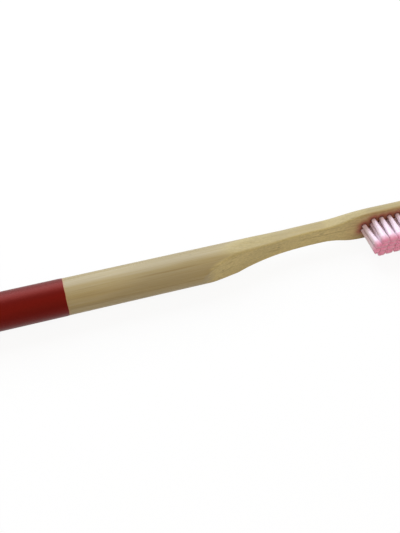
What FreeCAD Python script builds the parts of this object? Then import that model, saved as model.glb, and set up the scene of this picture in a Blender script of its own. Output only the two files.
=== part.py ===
import FreeCAD, Part
import os
import Sketcher

# A bamboo toothbrush: a round turned grip that is milled away to a slim neck and a flat head,
# a dip coat of paint over the butt end, and tufts folded round metal anchors in blind holes.
# It lies on its side: X runs along the handle to the head, the tufts point to -Y, Z is up.

# Driving dimensions in millimetres: alias, value, what it is.
# Lengths along the brush are counted back from the head's tip unless they name the butt.
DIMENSIONS = (
    ("brush_length", 190.0, "butt of the dip coat to the tip of the head"),
    ("grip_diameter", 11.0, "turned round grip, bare wood"),
    ("butt_round", 3.2, "reach of the two bevels that round off the grip's butt"),
    ("coat_length", 66.0, "dip coat, from the butt to its edge"),
    ("coat_thickness", 0.18, "dip coat film"),
    ("face_length", 43.5, "flat bristle face, from the tip to the run-out of the ramp"),
    ("face_drop", 0.9, "bristle face behind the axis of the grip"),
    ("ramp_radius", 130.0, "hollow of the milled ramp between the grip and the bristle face"),
    ("lip_radius", 30.0, "rounded lip where the ramp leaves the grip"),
    ("head_width", 12.0, "widest part of the head"),
    ("head_length", 27.0, "head at full width, with its half-round tip"),
    ("flare_length", 15.5, "neck widening into the head"),
    ("neck_length", 13.0, "straight part of the neck"),
    ("neck_width", 6.8, "narrowest part of the neck"),
    ("taper_length", 27.5, "grip narrowing into the neck"),
    ("crown_radius", 11.0, "crown across the back of the head"),
    ("back_round", 0.9, "rounded back edges of neck and head"),
    ("face_round", 0.6, "eased edges of the bristle face"),
    ("mill_run", 0.6, "run-out of the side and face cuts beyond the wood"),
    ("tuft_columns", 10, "tufts in each of the two inner rows"),
    ("column_pitch", 2.78, "tuft spacing along the head"),
    ("row_pitch", 1.98, "tuft spacing across the head"),
    ("tip_margin", 3.3, "tip of the head to the last column of tufts"),
    ("hole_diameter", 1.6, "tuft hole, across its flats"),
    ("hole_depth", 3.2, "drilled tuft hole, from the bristle face"),
    ("tuft_clearance", 0.03, "tuft to the wall of its hole"),
    ("bristle_length", 9.5, "bristle face to the trimmed tips"),
    ("tip_diameter", 1.86, "tuft at its trimmed tips, fanned out, across its flats"),
    ("tuft_sides", 12, "flats round a tuft and round its hole"),
    ("fold_thickness", 0.4, "folded filaments under the anchor"),
    ("anchor_height", 1.3, "anchor plate, down the hole"),
    ("anchor_thickness", 0.25, "anchor plate, across the brush"),
    ("anchor_gap", 0.01, "ends of the anchor plate to the wall of the hole"),
)

doc = FreeCAD.newDocument("toothbrush")
sheet = doc.addObject("Spreadsheet::Sheet", "sizes")
for row, (alias, number, note) in enumerate(DIMENSIONS, start=1):
    sheet.set(f"A{row}", note)
    sheet.set(f"B{row}", str(number))
    sheet.setAlias(f"B{row}", alias)
doc.recompute()

# Stations along the grip's axis, from the butt, and the levels across it.
GRIP_RADIUS = "(sizes.grip_diameter / 2)"
COAT_RADIUS = "(sizes.grip_diameter / 2 + sizes.coat_thickness)"
TIP = "sizes.brush_length"
HEAD_START = "(sizes.brush_length - sizes.head_length)"
NECK_END = "(sizes.brush_length - sizes.head_length - sizes.flare_length)"
NECK_START = "(sizes.brush_length - sizes.head_length - sizes.flare_length - sizes.neck_length)"
TAPER_START = f"({NECK_START} - sizes.taper_length)"
FACE_START = "(sizes.brush_length - sizes.face_length)"
ANCHOR_SEAT = "(sizes.hole_depth - sizes.fold_thickness)"
HALF_FLAT = "(180 deg / sizes.tuft_sides)"

# Where the grip's axis starts in the part's own frame: the origin is under the middle of the box.
AXIS_X = "-sizes.brush_length / 2"
AXIS_Y = f"(sizes.bristle_length - sizes.face_drop - {COAT_RADIUS}) / 2"
AXIS_Z = f"max({COAT_RADIUS}; sizes.head_width / 2)"


def value_of(formula):
    """The number that a formula of the sheet gives."""
    return float(sheet.evalExpression(formula))


def plane_of(body, role):
    """The origin plane or axis of a body that plays the given role."""
    return next(item for item in body.Origin.OriginFeatures if item.Role == role)


def sketch_on(body, name, role, offset=None):
    """A sketch on one of the body's origin planes, moved along its normal by a formula."""
    sketch = body.newObject("Sketcher::SketchObject", name)
    sketch.AttachmentSupport = [(plane_of(body, role), "")]
    sketch.MapMode = "FlatFace"
    if offset:
        sketch.setExpression("AttachmentOffset.Base.z", offset)
    return sketch


def bind(sketch, kind, place, name, formula):
    """One dimension of a sketch, tied to a formula."""
    index = sketch.addConstraint(Sketcher.Constraint(kind, *place, value_of(formula)))
    sketch.renameConstraint(index, name)
    sketch.setExpression("Constraints." + name, formula)


def outline(sketch, corners, arcs=None):
    """A closed outline through named corners (name, x, y), given as formulas.

    A side is straight unless arcs holds its first corner's name, with the formulas of the arc's
    centre and whether it turns left. The centre's level across is what ties the arc down.
    """
    arcs = arcs or {}
    offset = sketch.GeometryCount
    spots = [FreeCAD.Vector(value_of(x), value_of(y), 0) for _, x, y in corners]
    sides = len(corners)
    for side, (name, _, _) in enumerate(corners):
        start = spots[side]
        end = spots[(side + 1) % sides]
        if name in arcs:
            centre_x, centre_y, turns_left = arcs[name]
            centre = FreeCAD.Vector(value_of(centre_x), value_of(centre_y), 0)
            circle = Part.Circle(centre, FreeCAD.Vector(0, 0, 1), (start - centre).Length)
            first, last = (start, end) if turns_left else (end, start)
            sketch.addGeometry(
                Part.ArcOfCircle(circle, circle.parameter(first), circle.parameter(last))
            )
        else:
            sketch.addGeometry(Part.LineSegment(start, end))

    def ends_of(side):
        """The sketch's point numbers for a side's start and end."""
        name = corners[side][0]
        return (2, 1) if name in arcs and not arcs[name][2] else (1, 2)

    for side in range(sides):
        following = (side + 1) % sides
        end = (side + offset, ends_of(side)[1])
        start = (following + offset, ends_of(following)[0])
        sketch.addConstraint(Sketcher.Constraint("Coincident", *end, *start))
    for side, (name, x, y) in enumerate(corners):
        point = (side + offset, ends_of(side)[0])
        bind(sketch, "DistanceX", point, name + "_x", x)
        bind(sketch, "DistanceY", point, name + "_y", y)
        if name in arcs:
            bind(sketch, "DistanceX", (side + offset, 3), name + "_centre_x", arcs[name][0])


def place(item, x="0", y="0", z="0"):
    """Put a sub-part on the grip's axis, with formulas for its own offset."""
    item.setExpression("Placement.Base.x", f"{AXIS_X} + {x}")
    item.setExpression("Placement.Base.y", f"{AXIS_Y} + {y}")
    item.setExpression("Placement.Base.z", f"{AXIS_Z} + {z}")


def revolve(body, sketch, name):
    """Turn a sketch once round its own level axis."""
    feature = body.newObject("PartDesign::Revolution", name)
    feature.Profile = sketch
    feature.ReferenceAxis = (sketch, ["H_Axis"])
    feature.Angle = 360
    return feature


def cut(body, sketch, name, depth=None):
    """Pocket a sketch to a depth given as a formula, or right through both ways."""
    feature = body.newObject("PartDesign::Pocket", name)
    feature.Profile = sketch
    if depth:
        feature.setExpression("Length", depth)
    else:
        feature.Type = "ThroughAll"
        feature.SideType = "Symmetric"
    return feature


def s_curve(first, second, x_start, y_start, x_end, y_end, rises):
    """Two equal arcs that lead level lines into each other: their corners and their centres."""
    across = f"({y_end} - {y_start})"
    along = f"({x_end} - {x_start})"
    swing = f"({along} * {along} + {across} * {across}) / (4 * {across})"
    corners = [
        (first, x_start, y_start),
        (second, f"({x_start} + {x_end}) / 2", f"({y_start} + {y_end}) / 2"),
    ]
    arcs = {
        first: (x_start, f"{y_start} + {swing}", rises),
        second: (x_end, f"{y_end} - {swing}", not rises),
    }
    return corners, arcs


def butt_corners(name, radius):
    """The butt's corners in a profile, shoulder first: two bevels, each a chord of a quarter turn."""
    along = "(sizes.coat_thickness + sizes.butt_round)"
    across = f"({GRIP_RADIUS} - sizes.butt_round)"
    return [
        (name + "_shoulder", along, f"{across} + {radius}"),
        (name + "_bevel", f"{along} - {radius} * cos(45 deg)", f"{across} + {radius} * sin(45 deg)"),
        (name + "_flat", f"{along} - {radius}", across),
    ]


def turn_grip(body):
    """The round grip with its bevelled butt, turned as far as the straight neck."""
    sketch = sketch_on(body, "grip_profile", "XY_Plane")
    corners = [
        ("butt", "sizes.coat_thickness", "0"),
        ("end", NECK_START, "0"),
        ("rim", NECK_START, GRIP_RADIUS),
    ]
    outline(sketch, corners + butt_corners("wood", "sizes.butt_round"))
    revolve(body, sketch, "grip")


def blank_section(body, name, station, half_width, crown):
    """One section of the neck and head blank: upright sides, and a crown front and back."""
    sketch = sketch_on(body, name, "YZ_Plane", station)
    centre = f"({GRIP_RADIUS} - {crown})"
    side = f"({centre} + sqrt({crown} * {crown} - {half_width} * {half_width}))"
    outline(
        sketch,
        [
            ("front_low", f"-{side}", f"-{half_width}"),
            ("back_low", side, f"-{half_width}"),
            ("back_high", side, half_width),
            ("front_high", f"-{side}", half_width),
        ],
        {"back_low": (centre, "0", True), "front_high": (f"-{centre}", "0", True)},
    )
    return sketch


def loft_blank(body):
    """The blank of neck and head: it starts on the grip's round and flattens to the head."""
    neck = "(sizes.neck_width / 2 + sizes.mill_run)"
    head = "(sizes.head_width / 2 + sizes.mill_run)"
    past_tip = f"({TIP} + sizes.mill_run)"
    crown = "sizes.crown_radius"
    loft = body.newObject("PartDesign::AdditiveLoft", "blank")
    loft.Profile = (blank_section(body, "blank_root", NECK_START, neck, GRIP_RADIUS), [""])
    loft.Sections = [
        (blank_section(body, "blank_head", HEAD_START, head, crown), [""]),
        (blank_section(body, "blank_tip", past_tip, head, crown), [""]),
    ]
    loft.Ruled = True


def mill_sides(body):
    """Cut both sides to the neck, the flare and the half-round head."""
    sketch = sketch_on(body, "side_path", "XZ_Plane")
    grip_line = f"({GRIP_RADIUS} + sizes.mill_run)"
    neck_line = "(sizes.neck_width / 2)"
    head_line = "(sizes.head_width / 2)"
    clear_line = f"(max({GRIP_RADIUS}; {head_line}) + 2 * sizes.mill_run)"
    past_tip = f"({TIP} + sizes.mill_run)"
    tip_centre = f"({TIP} - {head_line})"
    taper, taper_arcs = s_curve(
        "taper", "taper_mid", TAPER_START, grip_line, NECK_START, neck_line, False
    )
    flare, flare_arcs = s_curve(
        "flare", "flare_mid", NECK_END, neck_line, HEAD_START, head_line, True
    )
    corners = taper + [("neck", NECK_START, neck_line)] + flare
    corners += [
        ("head", HEAD_START, head_line),
        ("round", tip_centre, head_line),
        ("tip", TIP, "0"),
        ("past", past_tip, "0"),
        ("past_clear", past_tip, clear_line),
        ("clear", TAPER_START, clear_line),
    ]
    outline(sketch, corners, {**taper_arcs, **flare_arcs, "round": (tip_centre, "0", False)})
    pocket = cut(body, sketch, "upper_side")
    mirror = body.newObject("PartDesign::Mirrored", "lower_side")
    mirror.Originals = [pocket]
    mirror.MirrorPlane = (plane_of(body, "XY_Plane"), [""])
    body.Tip = mirror


def mill_face(body):
    """Cut the bristle face, and the ramp that runs from it over a rounded lip into the grip."""
    sketch = sketch_on(body, "face_path", "XY_Plane")
    clear_line = f"(-{GRIP_RADIUS} - sizes.mill_run)"
    past_tip = f"({TIP} + sizes.mill_run)"
    reach = "(sizes.ramp_radius + sizes.lip_radius)"
    rise = f"(sizes.face_drop - {clear_line})"
    along = f"sqrt({reach} * {reach} - ({reach} - {rise}) * ({reach} - {rise}))"
    hollow = f"sizes.ramp_radius / {reach}"
    lip_start = f"({FACE_START} - {along})"
    outline(
        sketch,
        [
            ("lip", lip_start, clear_line),
            ("clear", past_tip, clear_line),
            ("past", past_tip, "sizes.face_drop"),
            ("face", FACE_START, "sizes.face_drop"),
            ("ramp", f"{FACE_START} - {along} * {hollow}", f"sizes.face_drop - {rise} * {hollow}"),
        ],
        {
            "face": (FACE_START, "(sizes.face_drop - sizes.ramp_radius)", True),
            "ramp": (lip_start, f"({clear_line} + sizes.lip_radius)", False),
        },
    )
    cut(body, sketch, "bristle_face")


def round_edges(body, name, radius, wanted):
    """Round the edges of the body whose middle point and extent pass a test."""
    doc.recompute()
    base = body.Tip
    edges = []
    for number, edge in enumerate(base.Shape.Edges, start=1):
        middle = edge.valueAt((edge.FirstParameter + edge.LastParameter) / 2)
        if wanted(middle, edge.BoundBox):
            edges.append(f"Edge{number}")
    fillet = body.newObject("PartDesign::Fillet", name)
    fillet.Base = (base, edges)
    fillet.setExpression("Radius", radius)


def along_sides(middle, box):
    """Whether an edge runs along the sides of neck and head, seen from its middle and its box."""
    past_taper = middle.x > value_of(f"({TAPER_START} + {NECK_START}) / 2")
    off_centre = abs(middle.z) > value_of("sizes.neck_width / 4")
    return past_taper and off_centre and box.XLength > value_of("sizes.face_round")


def round_blank(body):
    """Round the edges of the milled blank all the way along, front and back."""
    clear = value_of("sizes.face_drop + sizes.back_round")
    round_edges(
        body,
        "blank_edges",
        "sizes.back_round",
        lambda middle, box: along_sides(middle, box) and abs(middle.y) > clear,
    )


def ease_face(body):
    """Ease the rim of the bristle face, along both sides and round the tip."""
    level = value_of("sizes.face_drop")
    touch = value_of("sizes.face_round / 10")
    tip_start = value_of(f"{TIP} - sizes.face_round")

    def on_rim(middle, box):
        round_tip = middle.x > tip_start and middle.y > level - touch
        return middle.y < level + touch and (along_sides(middle, box) or round_tip)

    round_edges(body, "face_edges", "sizes.face_round", on_rim)


def tuft_station(column):
    """Where a column of tufts stands along the grip's axis, the first next to the neck."""
    return f"({TIP} - sizes.tip_margin - (sizes.tuft_columns - 1 - {column}) * sizes.column_pitch)"


def drill_rows(body, name, column, across, count):
    """Two rows of blind tuft holes, one each side of the middle, from a column of the inner rows."""
    sketch = sketch_on(body, f"{name}_pair", "XZ_Plane", "-sizes.face_drop")
    sides = int(value_of("sizes.tuft_sides"))
    reach = f"(sizes.hole_diameter / 2 / cos({HALF_FLAT}))"
    for label, side in (("lower", -1), ("upper", 1)):
        corners = []
        for corner in range(sides):
            turn = f"((2 * {corner} + 1) * {HALF_FLAT})"
            x = f"{tuft_station(column)} + {reach} * cos({turn})"
            y = f"{side} * {across} + {reach} * sin({turn})"
            corners.append((f"{label}_{corner}", x, y))
        outline(sketch, corners)
    pocket = cut(body, sketch, f"{name}_holes", "sizes.hole_depth")
    pattern = body.newObject("PartDesign::LinearPattern", f"{name}_rows")
    pattern.Originals = [pocket]
    pattern.Direction = (plane_of(body, "X_Axis"), [""])
    pattern.Mode = "Spacing"
    pattern.setExpression("Offset", "sizes.column_pitch")
    pattern.setExpression("Occurrences", count)
    body.Tip = pattern


def build_handle():
    """The whole handle: turned grip, milled neck and head, drilled bristle face."""
    body = doc.addObject("PartDesign::Body", "bamboo_handle")
    turn_grip(body)
    loft_blank(body)
    mill_sides(body)
    round_blank(body)
    mill_face(body)
    ease_face(body)
    drill_rows(body, "inner", 0, "sizes.row_pitch / 2", "sizes.tuft_columns")
    drill_rows(body, "outer", 1, "3 * sizes.row_pitch / 2", "sizes.tuft_columns - 2")
    place(body)
    return body


def build_coat():
    """The dip coat: an even film round the butt end, closed over the butt."""
    body = doc.addObject("PartDesign::Body", "dip_coat")
    sketch = sketch_on(body, "coat_profile", "XY_Plane")
    inside = butt_corners("wood", "sizes.butt_round")
    outside = butt_corners("film", "(sizes.butt_round + sizes.coat_thickness)")
    corners = [("butt", "0", "0"), ("wood_butt", "sizes.coat_thickness", "0")]
    corners += reversed(inside)
    corners += [
        ("wood_edge", "sizes.coat_length", GRIP_RADIUS),
        ("film_edge", "sizes.coat_length", COAT_RADIUS),
    ]
    outline(sketch, corners + outside)
    revolve(body, sketch, "film")
    place(body)
    return body


def build_anchor(column, row):
    """One anchor plate on edge in its hole, wedged across it along the grain."""
    plate = doc.addObject("Part::Box", "anchor")
    length = "(sizes.hole_diameter - 2 * sizes.anchor_gap)"
    plate.setExpression("Length", length)
    plate.setExpression("Width", "sizes.anchor_height")
    plate.setExpression("Height", "sizes.anchor_thickness")
    place(
        plate,
        f"{tuft_station(column)} - {length} / 2",
        f"sizes.face_drop + {ANCHOR_SEAT} - sizes.anchor_height",
        f"{row} * sizes.row_pitch - sizes.anchor_thickness / 2",
    )
    return plate


def build_tuft(number, column, row, anchor):
    """One tuft: a bundle folded under its anchor, straight in its hole and fanned out above it."""
    waist = "(sizes.hole_diameter / 2 - sizes.tuft_clearance)"
    levels = (
        (waist, "sizes.hole_depth"),
        (waist, "0"),
        ("sizes.tip_diameter / 2", "-sizes.bristle_length"),
    )
    rings = []
    for apothem, depth in levels:
        ring = doc.addObject("Part::RegularPolygon", "ring")
        ring.setExpression("Polygon", "sizes.tuft_sides")
        ring.setExpression("Circumradius", f"{apothem} / cos({HALF_FLAT})")
        turn = f"rotation(vector(1; 0; 0); 90 deg) * rotation(vector(0; 0; 1); {HALF_FLAT})"
        ring.setExpression("Placement.Rotation", turn)
        level = f"sizes.face_drop + {depth}"
        place(ring, tuft_station(column), level, f"{row} * sizes.row_pitch")
        rings.append(ring)
    bundle = doc.addObject("Part::Loft", "bundle")
    bundle.Sections = rings
    bundle.Solid = True
    bundle.Ruled = True
    tuft = doc.addObject("Part::Cut", f"tuft_{number:02d}")
    tuft.Base = bundle
    tuft.Tool = anchor
    return tuft


def tuft_spots():
    """Column and row of every tuft: the end columns have only the two inner rows."""
    columns = int(value_of("sizes.tuft_columns"))
    for column in range(columns):
        inner_only = column in (0, columns - 1)
        for row in (-0.5, 0.5) if inner_only else (-1.5, -0.5, 0.5, 1.5):
            yield column, row


def build_all():
    """Every sub-part of the brush."""
    parts = [build_handle(), build_coat()]
    plates = []
    for number, (column, row) in enumerate(tuft_spots(), start=1):
        plates.append(build_anchor(column, row))
        parts.append(build_tuft(number, column, row, plates[-1]))
    anchors = doc.addObject("Part::Compound", "tuft_anchors")
    anchors.Links = plates
    return parts + [anchors]


def write_all(parts):
    """Check every object of the document, then write one file for each sub-part."""
    doc.recompute()
    failed = [item.Name for item in doc.Objects if {"Invalid", "Error"} & set(item.State)]
    failed += [item.Name for item in parts if item.Shape.isNull() or not item.Shape.isValid()]
    if failed:
        raise RuntimeError("failed objects: " + ", ".join(failed))
    os.makedirs("parts", exist_ok=True)
    for item in parts:
        item.Shape.exportStep(os.path.join("parts", item.Label + ".step"))


write_all(build_all())
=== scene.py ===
"""A bamboo toothbrush with a dipped handle end: its looks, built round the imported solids.

The brush lies on its side: X runs along the handle to the head, the tufts point to -Y, Z is up.
Sizes in the classes are millimetres, counted from the butt along the grip's axis; Blender gets metres.
"""

import logging
import math
from collections.abc import Callable, Iterator
from contextlib import contextmanager
from dataclasses import dataclass, field
from enum import Enum, IntEnum
from functools import partial
from typing import Any

import bpy
import numpy as np
from mathutils import Matrix, Vector, noise


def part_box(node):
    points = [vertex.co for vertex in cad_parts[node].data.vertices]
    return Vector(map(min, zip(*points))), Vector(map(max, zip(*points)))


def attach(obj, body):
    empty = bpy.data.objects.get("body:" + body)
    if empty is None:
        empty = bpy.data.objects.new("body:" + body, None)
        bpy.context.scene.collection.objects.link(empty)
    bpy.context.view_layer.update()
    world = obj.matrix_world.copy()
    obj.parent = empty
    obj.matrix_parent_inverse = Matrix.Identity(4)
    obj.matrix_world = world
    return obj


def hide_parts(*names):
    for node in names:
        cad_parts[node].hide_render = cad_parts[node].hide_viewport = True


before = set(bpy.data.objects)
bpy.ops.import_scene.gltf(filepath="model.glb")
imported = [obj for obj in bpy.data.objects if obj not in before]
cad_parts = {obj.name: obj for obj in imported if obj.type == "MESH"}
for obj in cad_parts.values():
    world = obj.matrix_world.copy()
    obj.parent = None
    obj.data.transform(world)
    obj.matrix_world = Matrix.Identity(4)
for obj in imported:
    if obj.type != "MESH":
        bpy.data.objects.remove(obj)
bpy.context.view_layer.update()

LOG = logging.getLogger("toothbrush")
MM = 0.001
BODY = "root"
WELD = 0.0005 * MM
SLIVER = 0.002 * MM
CREASE = math.radians(40)
SCATTER = np.array([12.9898, 78.233])
SCATTER_GAIN = 43758.5453
SECOND_DRAW = 1.7

Colour = tuple[float, float, float, float]
Levels = tuple[float, float, float, float]
Triple = tuple[float, float, float]
Pair = tuple[float, float]
AddNode = Callable[..., bpy.types.Node]
Piece = bpy.types.Object
Rows = np.ndarray
WHITE: Colour = (1.0, 1.0, 1.0, 1.0)


class Slot(Enum):
    """The record's material slots."""

    BAMBOO = "bamboo"
    PAINT = "red_paint"
    NYLON = "nylon"
    BRASS = "anchor_brass"


class Mask(Enum):
    """Values kept at the points of a mesh, which its finish reads."""

    CUT = "milled"
    # Painted shade and a reddish painted bounce of the pink tufts, round and inside the tuft holes.
    RIM = "hole_rim"
    BLEED = "paint_bleed"
    REACH = "reach"
    TINT = "filament_tint"


class MixIn(IntEnum):
    """The inputs of a Mix node, some of which share a name."""

    FACTOR = 0
    A = 2
    B = 3
    COLOUR_A = 6
    COLOUR_B = 7


def linear(code: str) -> Colour:
    """Turn an sRGB hex colour into linear light.

    Args:
        code: the colour as "#RRGGBB".

    Returns:
        Linear red, green and blue, and an alpha of 1.
    """
    parts = [int(code[place:place + 2], 16) / 255 for place in (1, 3, 5)]
    light = [part / 12.92 if part <= 0.04045 else ((part + 0.055) / 1.055) ** 2.4 for part in parts]
    return (light[0], light[1], light[2], 1.0)


def add_node(
    tree: bpy.types.NodeTree,
    kind: str,
    settings: dict[Any, Any] | None = None,
    links: dict[Any, bpy.types.Node | bpy.types.NodeSocket] | None = None,
) -> bpy.types.Node:
    """Add a shader node with its settings and links.

    Args:
        tree: the node tree.
        kind: the node's type, without the ShaderNode that it starts with.
        settings: node properties and input values by name or number, and a ramp's "stops".
        links: the output, or the node whose first output in use, feeds each named or numbered input.

    Returns:
        The new node.
    """
    node = tree.nodes.new(f"ShaderNode{kind}")
    for name, value in (settings or {}).items():
        if name == "stops":
            elements = node.color_ramp.elements
            elements[0].position, elements[0].color = value[0]
            elements[1].position, elements[1].color = value[-1]
            for place, colour in value[1:-1]:
                elements.new(place).color = colour
        elif isinstance(name, str) and hasattr(node, name):
            setattr(node, name, value)
        else:
            node.inputs[name].default_value = value
    for name, source in (links or {}).items():
        if isinstance(source, bpy.types.Node):
            source = next(output for output in source.outputs if output.enabled)
        tree.links.new(source, node.inputs[name])
    return node


def new_material(name: str) -> tuple[bpy.types.Material, AddNode]:
    """Start a node material with an empty tree.

    Args:
        name: the material's name.

    Returns:
        The material, and the function that adds a node to its tree.
    """
    material = bpy.data.materials.new(name)
    material.use_nodes = True
    material.node_tree.nodes.clear()
    return material, partial(add_node, material.node_tree)


def stretched(add: AddNode, size: Triple, turn: float = 0.0) -> bpy.types.Node:
    """Object coordinates on which a pattern of scale 1 has the given size.

    Args:
        add: the function that adds a node to the material.
        size: the pattern's size along X, Y and Z in millimetres.
        turn: a turn about the handle's length, in degrees.

    Returns:
        The node that gives the coordinates.
    """
    place = add("TexCoord").outputs["Object"]
    turned = add("Mapping", {"Rotation": (math.radians(turn), 0, 0)}, {"Vector": place})
    return add("Mapping", {"Scale": tuple(1 / (part * MM) for part in size)}, {"Vector": turned})


def spanned(*levels: float) -> dict[str, float]:
    """A range's settings, from its two levels before and its two levels after."""
    return dict(zip(("From Min", "From Max", "To Min", "To Max"), levels, strict=True))


def ramp(places: tuple[float, ...], codes: tuple[str, ...]) -> dict[str, list[tuple[float, Colour]]]:
    """A colour ramp's settings, from its places and the hex colours at them."""
    return {"stops": [(place, linear(code)) for place, code in zip(places, codes, strict=True)]}


@dataclass(frozen=True)
class BambooFinish:
    """Moso bamboo, turned and milled across its fibres, sanded and left bare.

    It gives the eye a pale straw with straight fibres along the handle, ochre streaks, and brown
    bundle ends that turn to specks where the slanted cut meets them.
    """

    pale: str = "#AA9B76"
    straw: str = "#9B854A"
    fresh: str = "#CDBC80"
    ochre: str = "#7D642E"
    bundle: str = "#6F582D"
    speck: str = "#5B472A"
    # The colour of the painted shade and reddish painted bounce round the tuft holes.
    root_shade_and_bounce: str = "#90301A"
    bleed: str = "#B07C52"
    fibre_mm: Triple = (22.0, 0.34, 0.34)
    layer_mm: Triple = (34.0, 0.5, 2.8)
    layer_turn: float = 38.0
    bundle_mm: Triple = (26.0, 0.95, 0.95)
    streak_mm: Triple = (55.0, 1.7, 1.7)
    drift_mm: Triple = (24.0, 7.0, 7.0)
    tear_mm: Triple = (0.9, 0.42, 0.42)
    spot_mm: Triple = (9.0, 4.2, 4.2)
    bump_mm: float = 0.06
    layer_share: float = 0.55
    grain_span: Pair = (0.3, 0.7)
    warm_levels: Levels = (0.56, 0.74, 0.0, 0.5)
    vessel_levels: Levels = (0.06, 0.24, 0.32, 0.0)
    tear_levels: Levels = (0.3, 0.7, -0.16, 0.16)
    spot_levels: Levels = (0.05, 0.1, 0.4, 0.0)
    tone_levels: Levels = (0.3, 0.7, 0.9, 1.06)
    fresh_share: float = 0.75
    closed_vessel: float = 0.35
    opened_vessel: float = 0.65
    vessel_height: float = -0.8
    least_rough: float = 0.46
    grain_rough: float = 0.16
    cut_rough: float = 0.16

    def material(self) -> bpy.types.Material:
        """Make the material.

        Returns:
            The material.
        """
        material, add = new_material("moso_bamboo_sanded")
        cut, root_shade_mask, bleed = (
            add("Attribute", {"attribute_name": mask.value}).outputs["Fac"]
            for mask in (Mask.CUT, Mask.RIM, Mask.BLEED)
        )
        fibre, layer, streaks, drift, tear = (
            add("TexNoise", {"Scale": 1.0, **look}, {"Vector": stretched(add, size, turn)})
            for size, turn, look in (
                (self.fibre_mm, 0.0, {"Detail": 3.0, "Roughness": 0.6}),
                (self.layer_mm, self.layer_turn, {"Detail": 2.0, "Roughness": 0.5, "Distortion": 0.25}),
                (self.streak_mm, 0.0, {"Detail": 3.0, "Roughness": 0.62}),
                (self.drift_mm, 0.0, {"Detail": 1.0}),
                (self.tear_mm, 0.0, {"Detail": 2.0, "Roughness": 0.65}),
            )
        )
        bundles, spots = (
            add("TexVoronoi", {"Scale": 1.0, "Randomness": loose}, {"Vector": stretched(add, size)})
            for size, loose in ((self.bundle_mm, 0.9), (self.spot_mm, 1.0))
        )
        warmth, vessel, tear_mark, spot_mark, tone = (
            add("MapRange", spanned(*levels), {"Value": pattern})
            for pattern, levels in (
                (streaks, self.warm_levels),
                (bundles, self.vessel_levels),
                (tear, self.tear_levels),
                (spots, self.spot_levels),
                (drift, self.tone_levels),
            )
        )
        grain = add("Mix", {MixIn.FACTOR: self.layer_share}, {MixIn.A: fibre, MixIn.B: layer})
        opened = add("Math", {"operation": "MULTIPLY", 1: self.fresh_share}, {0: cut})
        shares = {1: self.opened_vessel, 2: self.closed_vessel}
        vessel_share = add("Math", {"operation": "MULTIPLY_ADD", **shares}, {0: cut})
        vessel_mark = add("Math", {"operation": "MULTIPLY"}, {0: vessel, 1: vessel_share})
        torn = add("Math", {"operation": "MULTIPLY"}, {0: tear_mark, 1: cut})
        fleck = add("Math", {"operation": "SUBTRACT", 0: 1.0}, {1: torn})
        colour = add("ValToRGB", ramp(self.grain_span, (self.straw, self.pale)), {"Fac": grain})
        # Each layer lays a colour over the ones before it, or without one changes their brightness.
        for share, code in (
            (opened, self.fresh),
            (warmth, self.ochre),
            (vessel_mark, self.bundle),
            (fleck, None),
            (spot_mark, self.speck),
            (tone, None),
            # Painted shade and reddish painted bounce round and inside the tuft holes.
            (root_shade_mask, self.root_shade_and_bounce),
            (bleed, self.bleed),
        ):
            if code is None:
                colour = add("HueSaturation", {}, {"Value": share, "Color": colour})
            else:
                over = {"data_type": "RGBA", MixIn.COLOUR_B: linear(code)}
                colour = add("Mix", over, {MixIn.FACTOR: share, MixIn.COLOUR_A: colour})
        sunk = {"operation": "MULTIPLY_ADD", 1: self.vessel_height}
        height = add("Math", sunk, {0: vessel_mark, 2: grain})
        rough_height = add("Math", {"operation": "SUBTRACT"}, {0: height, 1: torn})
        bump = add("Bump", {"Strength": 0.55, "Distance": self.bump_mm * MM}, {"Height": rough_height})
        rough = {1: self.grain_rough, 2: self.least_rough}
        dull = add("Math", {"operation": "MULTIPLY_ADD", **rough}, {0: grain})
        duller = add("Math", {"operation": "MULTIPLY_ADD", 1: self.cut_rough}, {0: cut, 2: dull})
        shader = add(
            "BsdfPrincipled",
            {"IOR": 1.5, "Specular IOR Level": 0.6, "Sheen Weight": 0.22},
            {"Base Color": colour, "Roughness": duller, "Normal": bump},
        )
        add("OutputMaterial", {}, {"Surface": shader})
        return material


@dataclass(frozen=True)
class EnamelFinish:
    """Alkyd enamel, dipped and drained, air dried.

    It gives the eye a deep satin red with a broad soft highlight and a faint orange peel.
    """

    red: str = "#600B07"
    deep: str = "#560906"
    glance: str = "#F06452"
    peel_mm: Triple = (0.9, 0.9, 0.9)
    run_mm: Triple = (34.0, 4.0, 4.0)
    bump_mm: float = 0.03
    run_span: Pair = (0.35, 0.65)
    gloss_levels: Levels = (0.3, 0.7, 0.4, 0.47)

    def material(self) -> bpy.types.Material:
        """Make the material.

        Returns:
            The material.
        """
        material, add = new_material("dipped_alkyd_enamel")
        runs, peel = (
            add("TexNoise", {"Scale": 1.0, "Detail": detail}, {"Vector": stretched(add, size)})
            for size, detail in ((self.run_mm, 2.0), (self.peel_mm, 1.0))
        )
        colour = add("ValToRGB", ramp(self.run_span, (self.deep, self.red)), {"Fac": runs})
        gloss = add("MapRange", spanned(*self.gloss_levels), {"Value": runs})
        bump = add("Bump", {"Strength": 0.25, "Distance": self.bump_mm * MM}, {"Height": peel})
        shader = add(
            "BsdfPrincipled",
            {"IOR": 1.5, "Specular IOR Level": 0.5, "Specular Tint": linear(self.glance)},
            {"Base Color": colour, "Roughness": gloss, "Normal": bump},
        )
        add("OutputMaterial", {}, {"Surface": shader})
        return material


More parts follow.
